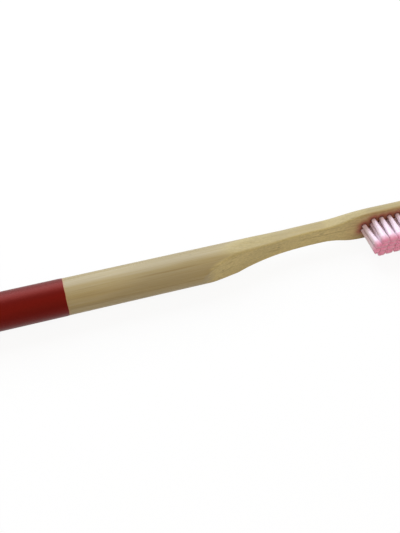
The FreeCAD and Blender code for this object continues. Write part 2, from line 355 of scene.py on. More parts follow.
@dataclass(frozen=True)
class NylonFinish:
    """Nylon 6.12, extruded as filament in pale pink, cut and end-rounded.

    It gives the eye glossy pale sides with a soft bloom, and a deeper pink at the cut tips.
    """

    # The root colour is painted shade with a reddish painted bounce from the wood, where the filaments
    # leave the hole.
    root: str = "#8E3634"
    side: str = "#FFE9F9"
    tip: str = "#FF9CC6"
    side_reach: Pair = (0.05, 0.74)
    shade_levels: Levels = (0.0, 1.0, 0.94, 1.0)
    gloss_levels: Levels = (0.0, 1.0, 0.26, 0.4)

    def material(self) -> bpy.types.Material:
        """Make the material.

        Returns:
            The material.
        """
        material, add = new_material("extruded_nylon_filament")
        reach, tint = (
            add("Attribute", {"attribute_name": mask.value}).outputs["Fac"]
            for mask in (Mask.REACH, Mask.TINT)
        )
        # The first stop darkens the filaments' feet with painted shade and reddish painted bounce.
        codes = (self.root, self.side, self.side, self.tip)
        along = add("ValToRGB", ramp((0.0, *self.side_reach, 1.0), codes), {"Fac": reach})
        shade = add("MapRange", spanned(*self.shade_levels), {"Value": tint})
        gloss = add("MapRange", spanned(*self.gloss_levels), {"Value": tint})
        colour = add("HueSaturation", {}, {"Value": shade, "Color": along})
        shader = add(
            "BsdfPrincipled",
            {"IOR": 1.53, "Sheen Weight": 0.6},
            {"Base Color": colour, "Roughness": gloss},
        )
        add("OutputMaterial", {}, {"Surface": shader})
        return material


@dataclass(frozen=True)
class BrassFinish:
    """Brass strip, rolled and sheared into small plates.

    It gives the eye a warm metal with fine rolling lines and duller patches.
    """

    brass: str = "#C9A55B"
    dulled: str = "#9A7A3E"
    line_mm: Triple = (1.4, 0.05, 0.05)
    line_span: Pair = (0.35, 0.6)
    gloss_levels: Levels = (0.0, 1.0, 0.45, 0.25)

    def material(self) -> bpy.types.Material:
        """Make the material.

        Returns:
            The material.
        """
        material, add = new_material("sheared_brass_strip")
        place = stretched(add, self.line_mm)
        lines = add("TexNoise", {"Scale": 1.0, "Detail": 2.0}, {"Vector": place})
        colour = add("ValToRGB", ramp(self.line_span, (self.dulled, self.brass)), {"Fac": lines})
        gloss = add("MapRange", spanned(*self.gloss_levels), {"Value": lines})
        shader = add("BsdfPrincipled", {"Metallic": 1.0}, {"Base Color": colour, "Roughness": gloss})
        add("OutputMaterial", {}, {"Surface": shader})
        return material


def select(*pieces: Piece) -> None:
    """Select these objects alone, and make the first one active.

    Args:
        pieces: the objects.
    """
    bpy.ops.object.select_all(action="DESELECT")
    for piece in pieces:
        piece.select_set(True)
    bpy.context.view_layer.objects.active = pieces[0]


@contextmanager
def editing(piece: Piece, kind: str = "VERT", action: str = "SELECT") -> Iterator[None]:
    """Work on a piece in edit mode.

    Args:
        piece: the object to edit.
        kind: what the selection is made of: "VERT", "EDGE" or "FACE".
        action: what is selected at first: all with "SELECT", nothing with "DESELECT".

    Returns:
        A context that goes back to object mode when it ends.
    """
    select(piece)
    bpy.ops.object.mode_set(mode="EDIT")
    bpy.ops.mesh.select_mode(type=kind)
    bpy.ops.mesh.select_all(action=action)
    yield
    bpy.ops.object.mode_set(mode="OBJECT")


def new_piece(name: str) -> Piece:
    """Take the object that an operator has just added, with its place moved into its mesh.

    Args:
        name: the piece's name.

    Returns:
        The object.
    """
    piece = bpy.context.object
    piece.name = name
    piece.data.name = name
    bpy.ops.object.transform_apply(location=True, rotation=True, scale=True)
    return piece


def points_of(piece: Piece) -> Rows:
    """The points of a piece's mesh, as rows of X, Y and Z in metres.

    Args:
        piece: the object.

    Returns:
        One row for each point.
    """
    flat = np.empty(len(piece.data.vertices) * 3, np.float32)
    piece.data.vertices.foreach_get("co", flat)
    return flat.reshape(-1, 3).astype(float)


def set_points(piece: Piece, points: Rows) -> None:
    """Move the points of a piece's mesh to the given rows, in metres."""
    piece.data.vertices.foreach_set("co", points.astype(np.float32).ravel())
    piece.data.update()


def set_mask(piece: Piece, mask: Mask, values: Rows) -> None:
    """Keep one value for each point of a piece's mesh."""
    layer = piece.data.attributes.new(mask.value, "FLOAT", "POINT")
    layer.data.foreach_set("value", values.astype(np.float32))


def smooth_step(low: float, high: float, values: Rows) -> Rows:
    """Rise smoothly from 0 at low to 1 at high."""
    share = np.clip((values - low) / (high - low), 0, 1)
    return share * share * (3 - 2 * share)


def round_meet(first: Rows, second: Rows, radius: Rows) -> Rows:
    """Where two walls both hold, with their edge rounded.

    Args:
        first: depths outside the first wall, negative inside.
        second: depths outside the second wall.
        radius: the rounding of the edge between them.

    Returns:
        Depths outside the rounded form.
    """
    corner = np.hypot(np.maximum(first + radius, 0), np.maximum(second + radius, 0))
    return np.minimum(np.maximum(first, second), -radius) + corner


def s_curve(along: Rows, start: float, end: float, first: float, last: float) -> Rows:
    """A level that two equal arcs lead from one height to another.

    Args:
        along: the stations.
        start: where the curve starts.
        end: where the curve ends.
        first: the height at its start and before.
        last: the height at its end and beyond.

    Returns:
        The height at each station.
    """
    length, rise = end - start, last - first
    swing = (length * length + rise * rise) / (4 * abs(rise))
    from_start = np.clip(along - start, 0, length / 2)
    from_end = np.clip(end - along, 0, length / 2)
    early = swing - np.sqrt(swing * swing - from_start * from_start)
    late = swing - np.sqrt(swing * swing - from_end * from_end)
    sign = math.copysign(1, rise)
    return np.where(along < (start + end) / 2, first + sign * early, last - sign * late)


@dataclass(frozen=True)
class GripAxis:
    """The grip's axis in the part's frame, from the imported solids."""

    butt: float
    across: float
    height: float

    @classmethod
    def from_coat(cls) -> "GripAxis":
        """Read the axis from the round coat at the butt."""
        low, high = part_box("dip_coat")
        return cls(low.x, (low.y + high.y) / 2, (low.z + high.z) / 2)

    def to_frame(self, points: Rows) -> Rows:
        """Turn rows of millimetres on the axis into metres in the frame."""
        return points * MM + np.array([self.butt, self.across, self.height])

    def to_axis(self, points: Rows) -> Rows:
        """Turn rows of metres in the frame into millimetres on the axis."""
        return (points - np.array([self.butt, self.across, self.height])) / MM


@dataclass
class Handle:
    """The wooden handle: a turned grip, milled to a ramp, a neck and a flat head with tuft holes."""

    axis: GripAxis
    tuft_places: list[Pair]
    length: float = 190.0
    butt: float = 0.08
    butt_round: float = 3.3
    grip_radius: float = 5.5
    coat_edge: float = 66.0
    face_length: float = 43.5
    face_drop: float = 0.9
    ramp_radius: float = 130.0
    lip_radius: float = 30.0
    head_half: float = 6.0
    head_length: float = 27.0
    flare_length: float = 15.5
    neck_length: float = 13.0
    neck_half: float = 3.4
    taper_length: float = 27.5
    crown_radius: float = 11.0
    back_round: float = 0.9
    face_round: float = 0.6
    ramp_round: float = 1.3
    mill_run: float = 0.6
    hole_radius: float = 0.8
    hole_depth: float = 3.2
    hole_sides: int = 24
    mouth_flare: float = 0.09
    keen: float = 0.02
    slim_inset: float = 5.0
    ring_points: int = 160
    fine_points: int = 720
    halvings: int = 44
    bend_weight: float = 0.9
    bend_limit: float = 0.5
    butt_rings: int = 12
    covered_start: float = 6.0
    covered_end: float = 1.0
    covered_step: float = 8.0
    edge_rings: tuple[float, ...] = (-0.4, 0.0, 0.15, 0.3, 0.45, 0.6)
    bare_start: float = 1.2
    bare_step: float = 0.8
    milled_start: float = 99.0
    milled_step: float = 0.3
    tip_rings: int = 34
    tip_sweep: float = 87.5
    skim: Pair = (0.2, 1.3)
    skim_uneven: float = 0.7
    face_blend: Pair = (0.1, 1.1)
    side_blend: Pair = (0.1, 0.9)
    slope_step: float = 0.5
    open_slope: float = 0.14
    side_share: float = 0.55
    sawn_share: float = 0.5
    pit_pitch: float = 1.15
    pit_width: float = 0.2
    pit_mean: float = 0.3
    pit_waves: tuple[Pair, ...] = ((0.3, 19.0), (0.12, 6.1))
    pit_depth: float = 0.006
    cut_pit_depth: float = 0.03
    torn_mm: Triple = (1.3, 0.6, 0.6)
    torn_depth: float = 0.022
    chatter_pitch: float = 1.4
    chatter_depth: float = 0.005
    # Painted shade and reddish painted bounce round the tuft holes: strong near each hole, fainter farther
    # out.
    root_shade_and_bounce: float = 0.92
    root_shade_reach: float = 2.7
    far_shade: float = 0.3
    far_shade_reach: float = 8.0
    wall_share: float = 1.2
    floor_margin: float = 0.1
    bleed: float = 0.45
    bleed_start: float = -0.1
    bleed_fade: Pair = (0.2, 0.5)
    finish: BambooFinish = field(default_factory=BambooFinish)

    def __post_init__(self) -> None:
        """Work out the stations along the handle."""
        self.head_start = self.length - self.head_length
        self.neck_end = self.head_start - self.flare_length
        self.neck_start = self.neck_end - self.neck_length
        self.taper_start = self.neck_start - self.taper_length
        self.face_start = self.length - self.face_length
        self.tip_centre = self.length - self.head_half

    def face_level(self, along: Rows) -> Rows:
        """The level of the milled ramp and bristle face, behind the axis, at each station.

        Args:
            along: the stations.

        Returns:
            The level at each station.
        """
        reach = self.ramp_radius + self.lip_radius
        top = -self.grip_radius - self.mill_run
        rise = self.face_drop - top
        run = math.sqrt(reach * reach - (reach - rise) ** 2)
        lip_start = self.face_start - run
        turn = self.face_start - run * self.ramp_radius / reach
        behind = np.clip(self.face_start - along, 0, self.ramp_radius)
        hollow = self.face_drop - self.ramp_radius + np.sqrt(self.ramp_radius**2 - behind**2)
        ahead = np.clip(along - lip_start, 0, self.lip_radius)
        lip = top + self.lip_radius - np.sqrt(self.lip_radius**2 - ahead**2)
        return np.where(along < turn, lip, hollow)

    def half_width(self, along: Rows) -> Rows:
        """Half the width that the side cuts leave at each station, before the half-round tip.

        Args:
            along: the stations.

        Returns:
            Half the width at each station.
        """
        wide = self.grip_radius + self.mill_run
        taper = s_curve(along, self.taper_start, self.neck_start, wide, self.neck_half)
        flare = s_curve(along, self.neck_end, self.head_start, self.neck_half, self.head_half)
        return np.where(along < self.neck_start, taper, flare)

    def outside(self, points: Rows) -> Rows:
        """How far outside the wood each row of X, Y and Z lies, negative inside.

        Args:
            points: rows on the grip's axis.

        Returns:
            The depth of each row.
        """
        along, across, up = points[..., 0], points[..., 1], points[..., 2]
        share = np.clip((along - self.neck_start) / (self.head_start - self.neck_start), 0, 1)
        crown = self.grip_radius + (self.crown_radius - self.grip_radius) * share
        back = np.hypot(across - (self.grip_radius - crown), up) - crown
        past = np.clip(along - self.tip_centre, 0, None)
        flank, tip = np.abs(up) - self.half_width(along), np.hypot(past, up) - self.head_half
        side = np.where(past > 0, tip, flank)
        side = np.where(along < self.taper_start, -self.grip_radius, side)
        slim = smooth_step(self.taper_start + self.slim_inset, self.neck_start - self.slim_inset, along)
        back_edge = self.keen + self.back_round * slim
        level = self.face_level(along)
        steep = (1 - np.clip(level / self.grip_radius, -1, 1) ** 2) ** 2
        face_edge = self.keen + self.ramp_round * steep * (1 - slim) + self.face_round * slim
        blank = round_meet(back, side, back_edge)
        return round_meet(blank, level - across, face_edge)

    def stations(self) -> Rows:
        """Where the rings of the mesh stand: close together on the ramp, the head and round the tip.

        Returns:
            The stations, from the butt to the tip.
        """
        turn = np.linspace(0, math.pi / 2, self.butt_rings)
        butt = self.butt + self.butt_round * (1 - np.cos(turn))
        covered_start = self.butt + self.butt_round + self.covered_start
        covered = np.arange(covered_start, self.coat_edge - self.covered_end, self.covered_step)
        edge = self.coat_edge + np.array(self.edge_rings)
        grip = np.arange(self.coat_edge + self.bare_start, self.milled_start, self.bare_step)
        milled = np.arange(self.milled_start, self.tip_centre, self.milled_step)
        sweep = np.linspace(0, math.radians(self.tip_sweep), self.tip_rings)
        tip = self.tip_centre + self.head_half * np.sin(sweep)
        return np.concatenate([butt, covered, edge, grip, milled, tip])

    def ring(self, along: float) -> Rows:
        """One ring of the handle, evenly spread with more points where it turns sharply.

        Args:
            along: the ring's station.

        Returns:
            Rows of X, Y and Z, closed by repeating the first row.
        """
        count = self.fine_points + 1
        angle = np.linspace(-math.pi / 2, 1.5 * math.pi, count)
        level = float(self.face_level(np.array(along)))
        centre = (max(level, -self.grip_radius) + self.grip_radius) / 2
        near, far = np.zeros(count), np.full(count, 2 * self.head_half)
        for _ in range(self.halvings):
            middle = (near + far) / 2
            across, up = centre + middle * np.sin(angle), middle * np.cos(angle)
            inside = self.outside(np.stack([np.full(count, along), across, up], axis=-1)) < 0
            near, far = np.where(inside, middle, near), np.where(inside, far, middle)
        shrink = self.butt_share(along)
        across = (centre + near * np.sin(angle)) * shrink
        up = near * np.cos(angle) * shrink
        step = np.hypot(np.diff(across), np.diff(up))
        heading = np.unwrap(np.arctan2(np.diff(up), np.diff(across)))
        bend = np.abs(np.diff(heading, append=heading[0] - math.tau))
        effort = step + self.bend_weight * np.minimum(bend, self.bend_limit)
        travel = np.concatenate([[0], np.cumsum(effort)])
        wanted = np.linspace(0, travel[-1], self.ring_points + 1)
        spread = [np.interp(wanted, travel, values) for values in (across, up)]
        return np.stack([np.full(len(wanted), along), *spread], axis=-1)

    def butt_share(self, along: float) -> float:
        """The share of the grip's radius that its rounded butt has at a station.

        Args:
            along: the station.

        Returns:
            The share.
        """
        short = self.butt + self.butt_round - along
        if short <= 0:
            return 1.0
        rest = math.sqrt(max(self.butt_round**2 - short * short, 0.0))
        return (self.grip_radius - self.butt_round + rest) / self.grip_radius

    def milled(self, points: Rows) -> Rows:
        """How much each row lies on the milled ramp or bristle face, from 0 to 1.

        Args:
            points: rows on the grip's axis.

        Returns:
            The share for each row.
        """
        level = self.face_level(points[:, 0])
        uneven = self.skim_uneven * (self.pits(points) - self.pit_mean)
        opened = smooth_step(*self.skim, level + self.grip_radius + uneven)
        return (1 - smooth_step(*self.face_blend, points[:, 1] - level)) * opened

    def slanted(self, points: Rows) -> Rows:
        """How much each row lies where any cut runs slanting through the fibres, from 0 to 1.

        Args:
            points: rows on the grip's axis.

        Returns:
            The share for each row.
        """
        along = points[:, 0]
        ahead, behind = along + self.slope_step, along - self.slope_step
        slope = np.abs(self.half_width(ahead) - self.half_width(behind))
        gap = self.half_width(along) - np.abs(points[:, 2])
        sawn = self.sawn_share * smooth_step(self.taper_start, self.neck_start, along)
        side = 1 - smooth_step(*self.side_blend, gap)
        side = side * np.clip(sawn + slope / self.open_slope, 0, 1)
        return np.maximum(self.milled(points), self.side_share * side)

    def pits(self, points: Rows) -> Rows:
        """How near each row is to a fibre bundle that runs along the handle, from 0 to 1.

        Args:
            points: rows on the grip's axis.

        Returns:
            The share for each row.
        """
        drift = sum(width * np.sin(points[:, 0] / length) for width, length in self.pit_waves)
        place = np.stack([points[:, 1] + drift, points[:, 2] - drift], axis=-1) / self.pit_pitch
        cell = np.floor(place)
        nearest = np.full(len(points), np.inf)
        for shift in np.ndindex(3, 3):
            other = cell + np.array(shift) - 1
            seed = np.sin(other @ SCATTER) * SCATTER_GAIN
            jitter = np.stack([seed % 1.0, (seed * SECOND_DRAW) % 1.0], axis=-1)
            nearest = np.minimum(nearest, np.linalg.norm(place - other - jitter, axis=1))
        return np.exp(-((nearest * self.pit_pitch / self.pit_width) ** 2))

    def build(self) -> Piece:
        """Model the handle and drill its head.

        Returns:
            The piece.
        """
        stations = self.stations()
        bpy.ops.mesh.primitive_grid_add(
            x_subdivisions=len(stations) - 1, y_subdivisions=self.ring_points, size=1.0
        )
        piece = new_piece("wood_handle")
        flat = points_of(piece)
        station = np.rint((flat[:, 0] + 0.5) * (len(stations) - 1)).astype(int)
        spot = np.rint((flat[:, 1] + 0.5) * self.ring_points).astype(int)
        rings = np.array([self.ring(along) for along in stations])
        set_points(piece, self.axis.to_frame(rings[station, spot]))
        with editing(piece):
            bpy.ops.mesh.remove_doubles(threshold=WELD)
            bpy.ops.mesh.fill_holes(sides=0)
            bpy.ops.mesh.select_all(action="SELECT")
            bpy.ops.mesh.normals_make_consistent(inside=False)
        self.weather(piece)
        self.drill(piece)
        return piece

    def weather(self, piece: Piece) -> None:
        """Sink fibre pits and torn grain into the wood, deepest on the slanted cut.

        Args:
            piece: the handle.
        """
        points = self.axis.to_axis(points_of(piece))
        cut = self.slanted(points)
        spots = (points / np.array(self.torn_mm)).tolist()
        torn = np.array([noise.noise(Vector(spot)) for spot in spots])
        chatter = 0.5 + 0.5 * np.sin(points[:, 0] * math.tau / self.chatter_pitch)
        sink = (self.pit_depth + self.cut_pit_depth * cut) * self.pits(points)
        sink += cut * (self.torn_depth * np.maximum(torn, 0) + self.chatter_depth * chatter)
        normals = np.empty(len(points) * 3, np.float32)
        piece.data.vertex_normals.foreach_get("vector", normals)
        moved = points - normals.reshape(-1, 3) * sink[:, None]
        set_points(piece, self.axis.to_frame(moved))

    def drill(self, piece: Piece) -> None:
        """Drill the round tuft holes, each with a slightly opened mouth.

        Args:
            piece: the handle.
        """
        mouth = self.axis.across + self.face_drop * MM
        depth = self.hole_depth + self.mill_run
        bpy.ops.mesh.primitive_cylinder_add(
            vertices=self.hole_sides,
            radius=self.hole_radius * MM,
            depth=depth * MM,
            location=(0, mouth + (self.hole_depth - depth / 2) * MM, self.axis.height),
            rotation=(math.pi / 2, 0, 0),
        )
        first = new_piece("drill")
        points = points_of(first)
        outer = points[:, 1] < mouth
        flare = np.array([self.mouth_flare, 0, self.mouth_flare])
        points[outer] += (points[outer] - [0, 0, self.axis.height]) * flare
        set_points(first, points)
        drills = []
        for along, height in self.tuft_places:
            copy = first.copy()
            copy.data = first.data.copy()
            copy.data.transform(Matrix.Translation((along, 0, height - self.axis.height)))
            bpy.context.collection.objects.link(copy)
            drills.append(copy)
        bpy.data.objects.remove(first)
        select(*drills)
        bpy.ops.object.join()
        cutter = bpy.context.object
        holes = piece.modifiers.new("tuft_holes", "BOOLEAN")
        holes.operation = "DIFFERENCE"
        holes.solver = "EXACT"
        holes.object = cutter
        select(piece)
        bpy.ops.object.modifier_apply(modifier=holes.name)
        bpy.data.objects.remove(cutter)
        with editing(piece):
            bpy.ops.mesh.dissolve_degenerate(threshold=SLIVER)
        bpy.ops.object.shade_smooth_by_angle(angle=CREASE)

    def dress(self, piece: Piece) -> None:
        """Mark the milled wood, the painted shade and reddish painted bounce round and inside the tuft
        holes, and the paint's edge, and give the wood its finish.

        Args:
            piece: the piece that build made.
        """
        frame_points = points_of(piece)
        points = self.axis.to_axis(frame_points)
        set_mask(piece, Mask.CUT, self.slanted(points))
        gap = np.full(len(points), np.inf)
        for place in self.tuft_places:
            gap = np.minimum(gap, np.linalg.norm(frame_points[:, (0, 2)] - place, axis=1) / MM)
        # Painted shade with a reddish painted bounce: strongest round each tuft hole and on its walls, with
        # a fainter painted shade spread wider.
        near = 1 - smooth_step(self.hole_radius, self.hole_radius + self.root_shade_reach, gap)
        far_shade = self.far_shade * (1 - smooth_step(0, self.far_shade_reach, gap))
        depth = points[:, 1] - self.face_level(points[:, 0])
        in_hole = (gap < self.wall_share * self.hole_radius) & (depth < self.hole_depth + self.floor_margin)
        open_wood = np.maximum(self.milled(points), in_hole)
        set_mask(piece, Mask.RIM, self.root_shade_and_bounce * (near + far_shade * (1 - near)) * open_wood)
        past = points[:, 0] - self.coat_edge
        faded = 1 - smooth_step(*self.bleed_fade, past)
        set_mask(piece, Mask.BLEED, self.bleed * (past > self.bleed_start) * faded)
        piece.data.materials.append(self.finish.material())
        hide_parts("bamboo_handle")
        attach(piece, BODY)


@dataclass
class DipFilm:
    """The dipped coat of paint: a thin film that closes over the butt and thins out at its edge."""

    axis: GripAxis
    edge: float = 66.0
    radius: float = 5.58
    thickness: float = 0.07
    butt_round: float = 3.38
    fade: float = 0.8
    edge_film: float = 0.03
    wobble: float = 0.09
    ripple_round: float = 3.1
    ripple_level: float = 0.4
    edge_zone: float = 3.0
    still_radius: float = 0.5
    ring_points: int = 144
    butt_segments: int = 12
    edge_cuts: tuple[float, ...] = (0.12, 0.3, 0.55, 0.9, 1.6, 3.0, 8.0, 20.0, 40.0)
    end_facing: float = 0.99
    finish: EnamelFinish = field(default_factory=EnamelFinish)

    def build(self) -> Piece:
        """Model the film.

        Returns:
            The piece.
        """
        bpy.ops.mesh.primitive_cylinder_add(
            vertices=self.ring_points,
            radius=self.radius * MM,
            depth=self.edge * MM,
            location=(self.axis.butt + self.edge / 2 * MM, self.axis.across, self.axis.height),
            rotation=(0, math.pi / 2, 0),
        )
        piece = new_piece("paint_film")
        with editing(piece, "FACE", "DESELECT"):
            self.select_end(piece, 1)
            bpy.ops.mesh.delete(type="ONLY_FACE")
            bpy.ops.mesh.select_all(action="DESELECT")
            self.select_end(piece, -1)
            bpy.ops.mesh.region_to_loop()
            bpy.ops.mesh.bevel(
                offset=self.butt_round * MM, segments=self.butt_segments, profile=0.5, affect="EDGES"
            )
        with editing(piece):
            for back in self.edge_cuts:
                bpy.ops.mesh.select_all(action="SELECT")
                bpy.ops.mesh.bisect(
                    plane_co=(self.axis.butt + (self.edge - back) * MM, 0, 0), plane_no=(1, 0, 0)
                )
        wall = piece.modifiers.new("film", "SOLIDIFY")
        wall.thickness = self.thickness * MM
        wall.offset = -1
        select(piece)
        bpy.ops.object.modifier_apply(modifier=wall.name)
        self.thin_edge(piece)
        bpy.ops.object.shade_smooth_by_angle(angle=CREASE)
        return piece

    def select_end(self, piece: Piece, side: int) -> None:
        """Select the flat end of the film that faces along the handle (1) or to its butt (-1).

        Args:
            piece: the film.
            side: which end.
        """
        bpy.ops.object.mode_set(mode="OBJECT")
        for face in piece.data.polygons:
            face.select = face.normal.x * side > self.end_facing
        bpy.ops.object.mode_set(mode="EDIT")

    def thin_edge(self, piece: Piece) -> None:
        """Let the film run out softly at its edge, on a line that is not quite straight.

        Args:
            piece: the film.
        """
        points = self.axis.to_axis(points_of(piece))
        radius = np.hypot(points[:, 1], points[:, 2])
        angle = np.arctan2(points[:, 2], points[:, 1])
        back = self.edge - points[:, 0]
        outer = radius > self.radius - self.thickness / 2
        film = self.edge_film + (self.thickness - self.edge_film) * smooth_step(0, self.fade, back)
        thinned = outer & (back < self.edge_zone)
        target = np.where(thinned, self.radius - self.thickness + film, radius)
        moving = radius > self.still_radius
        points[moving, 1:] *= (target[moving] / radius[moving])[:, None]
        turns = self.ripple_round * np.stack([np.cos(angle), np.sin(angle)], axis=-1)
        ripple = np.array([noise.noise(Vector((*turn, self.ripple_level))) for turn in turns.tolist()])
        pull = self.wobble * (ripple - np.max(ripple)) * (1 - smooth_step(0, self.edge_zone, back))
        points[:, 0] += np.where(moving, pull, 0)
        set_points(piece, self.axis.to_frame(points))

    def dress(self, piece: Piece) -> None:
        """Give the film its finish.

        Args:
            piece: the piece that build made.
        """
        piece.data.materials.append(self.finish.material())
        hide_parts("dip_coat")
        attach(piece, BODY)


@dataclass
class TuftField:
    """The tufts: bundles of filaments folded under an anchor, straight in the hole, fanned above it."""

    nodes: list[str]
    filament_radius: float = 0.1
    pack_pitch: float = 0.19
    pack_radius: float = 0.68
    fan_radius: Pair = (1.42, 1.02)
    square_share: float = 0.65
    end_fan: Pair = (0.74, 1.15)
    end_lean: float = 0.8
    end_part: float = 0.3
    row_gather: float = 0.04
    droop: float = 0.12
    fan_bend: float = 1.2
    bristle_length: float = 9.5
    plate_depth: float = 2.05
    plate_gap: float = 0.22
    fold_depth: float = 2.92
    fold_spread: float = 0.16
    sides: int = 5
    core_sides: int = 12
    core_share: float = 0.9
    core_tint: float = 0.3
    end_power: float = 9.0
    tip_round: float = 0.55
    foot_jitter: float = 0.012
    tip_jitter: float = 0.055
    lean_jitter: float = 0.06
    least_trim: float = 0.015
    trim_jitter: float = 0.05
    beside_plate: Pair = (0.96, 0.7)
    leg_reaches: tuple[float, ...] = (1.0, 0.985, 0.5, 0.0, -0.2)
    fold_reach: float = -0.3
    core_reaches: tuple[float, ...] = (0.985, 0.75, 0.4, 0.0, -0.1)
    seed: int = 20261
    finish: NylonFinish = field(default_factory=NylonFinish)

    def __post_init__(self) -> None:
        """Start the random draws, and set how far along a leg each ring stands."""
        self.draw = np.random.default_rng(self.seed)
        self.fan = np.array(self.fan_radius)
        self.leg_reach = np.array(self.leg_reaches)
        self.core_reach = np.array(self.core_reaches)

    def rod(self, sides: int, segments: int, end: float) -> tuple[Rows, list[list[int]]]:
        """Model one straight rod of radius 1, one unit between rings, and keep only its numbers.

        Args:
            sides: how many flats it has.
            segments: how many lengths it has.
            end: the radius that its ends are drawn in to.

        Returns:
            Its points, and the corners of its faces.
        """
        bpy.ops.mesh.primitive_cylinder_add(
            vertices=sides, radius=1.0, depth=segments, location=(0, 0, segments / 2)
        )
        piece = new_piece("rod")
        with editing(piece):
            for ring in range(1, segments):
                bpy.ops.mesh.select_all(action="SELECT")
                bpy.ops.mesh.bisect(plane_co=(0, 0, ring), plane_no=(0, 0, 1))
        points = points_of(piece)
        ends = (points[:, 2] < 0.5) | (points[:, 2] > segments - 0.5)
        points[ends, :2] *= end
        faces = [list(face.vertices) for face in piece.data.polygons]
        bpy.data.objects.remove(piece)
        return points, faces

    def paths(self, lean: Rows) -> Rows:
        """Lines of the folded filaments of one tuft, each up one side of the plate and down the other.

        Args:
            lean: how far the whole tuft leans at its tips.

        Returns:
            Rows of X, depth and Z from the middle of the hole's mouth, for each ring of a filament.
        """
        steps = int(self.pack_radius / self.pack_pitch) + 1
        row = self.pack_pitch * math.sqrt(3) / 2
        spots = []
        for up in range(steps + 1):
            for along in range(-steps, steps + 1):
                spot = ((along + 0.5 * (up % 2)) * self.pack_pitch, (up + 0.5) * row)
                if math.hypot(*spot) <= self.pack_radius:
                    spots.append(spot)
        feet = np.array(spots) + self.draw.normal(0, self.foot_jitter, (len(spots), 2))
        rings = [self.leg(feet, side, lean) for side in (1, -1)]
        depth = self.fold_depth + self.fold_spread * (feet[:, 1] / self.pack_radius)
        fold = np.stack([feet[:, 0] * self.beside_plate[0], depth, np.zeros(len(feet))], axis=-1)
        return np.concatenate([rings[0], fold[:, None], rings[1][:, ::-1]], axis=1)

    def leg(self, feet: Rows, side: int, lean: Rows) -> Rows:
        """One side of each folded filament, from its tip to beside the plate.

        Args:
            feet: where the filaments stand in the hole's mouth, on the upper side.
            side: 1 for the upper side of the plate, -1 for the lower.
            lean: how far the whole tuft leans at its tips.

        Returns:
            Rows of X, depth and Z for each filament and ring.
        """
        count = len(feet)
        foot = feet * np.array([1, side])
        splay = self.squared(foot / self.pack_radius) * (self.fan - self.filament_radius) - foot
        splay = splay + self.draw.normal(0, self.tip_jitter, (count, 2)) + lean
        trim = self.least_trim + np.abs(self.draw.normal(0, self.trim_jitter, count))
        rings = []
        for reach in self.leg_reach:
            spot = foot + splay * self.spread(reach)
            depth = -reach * (self.bristle_length - trim)
            if reach < 0:
                spot = foot * np.array(self.beside_plate) + np.array([0, side * self.plate_gap])
                depth = np.full(count, self.plate_depth)
            rings.append(np.stack([spot[:, 0], depth, spot[:, 1]], axis=-1))
        return np.stack(rings, axis=1)

    def squared(self, spots: Rows) -> Rows:
        """Draw rows of a unit disc part of the way out to the square round it.

        Args:
            spots: rows of the disc.

        Returns:
            The rows, drawn out.
        """
        first, second = np.clip(spots, -1, 1).T
        uneven = first**2 - second**2
        corners = []
        for sign, along in ((1, first), (-1, second)):
            middle, reach = 2 + sign * uneven, math.sqrt(8) * along
            outer, inner = np.maximum(middle + reach, 0), np.maximum(middle - reach, 0)
            corners.append((np.sqrt(outer) - np.sqrt(inner)) / 2)
        return spots + self.square_share * (np.stack(corners, axis=-1) - spots)

    def lean(self, place: float, height: float) -> Rows:
        """How far a tuft leans at its tips: the end tufts inwards, all of them down a little.

        Args:
            place: the tuft's place along the field, from -1 to 1 at the end tufts.
            height: its height over the middle of the field.

        Returns:
            The lean along X and Z.
        """
        share = self.end_share(place)
        inward = -math.copysign(self.end_lean * share, place)
        return np.array([inward, (self.end_part * share - self.row_gather) * height - self.droop])

    def end_share(self, place: float) -> float:
        """How much a tuft at a place along the field is an end tuft, from 0 to 1."""
        return abs(place) ** self.end_power

    def spread(self, reach: float) -> float:
        """The share of the fan that a tuft has opened at a reach."""
        return max(reach, 0.0) ** self.fan_bend

    def core(self, template: Rows, lean: Rows) -> Rows:
        """The close inner filaments of one tuft, taken together as one body.

        Args:
            template: the points of the straight rod.
            lean: how far the whole tuft leans at its tips.

        Returns:
            The core's points from the middle of the hole's mouth, in millimetres.
        """
        ring = np.rint(template[:, 2]).astype(int)
        reach = self.core_reach[ring]
        open_share = np.array([self.spread(part) for part in reach])
        packed = template[:, :2] * self.pack_radius
        fanned = self.squared(template[:, :2]) * self.fan
        across = self.core_share * (packed + (fanned - packed) * open_share[:, None])
        across += lean * open_share[:, None]
        return np.stack([across[:, 0], -reach * self.bristle_length, across[:, 1]], axis=-1)

    def lay(self, template: Rows, lines: Rows) -> Rows:
        """Lay copies of the straight filament along lines.

        Args:
            template: the filament's points.
            lines: rows of X, Y and Z for each filament and ring, in millimetres.

        Returns:
            The points of every copy, in millimetres.
        """
        ring = np.rint(template[:, 2]).astype(int)
        heading = np.gradient(lines, axis=1)
        heading /= np.linalg.norm(heading, axis=2, keepdims=True)
        first = np.array([1.0, 0, 0]) - heading * heading[..., :1]
        first /= np.linalg.norm(first, axis=2, keepdims=True)
        second = np.cross(heading, first)
        offset = template[:, :2] * self.filament_radius
        return (
            lines[:, ring]
            + first[:, ring] * offset[None, :, :1]
            + second[:, ring] * offset[None, :, 1:]
        )

    def mouth(self, node: str) -> Triple:
        """The middle of the mouth of a node's hole."""
        low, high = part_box(node)
        return ((low.x + high.x) / 2, low.y + self.bristle_length * MM, (low.z + high.z) / 2)

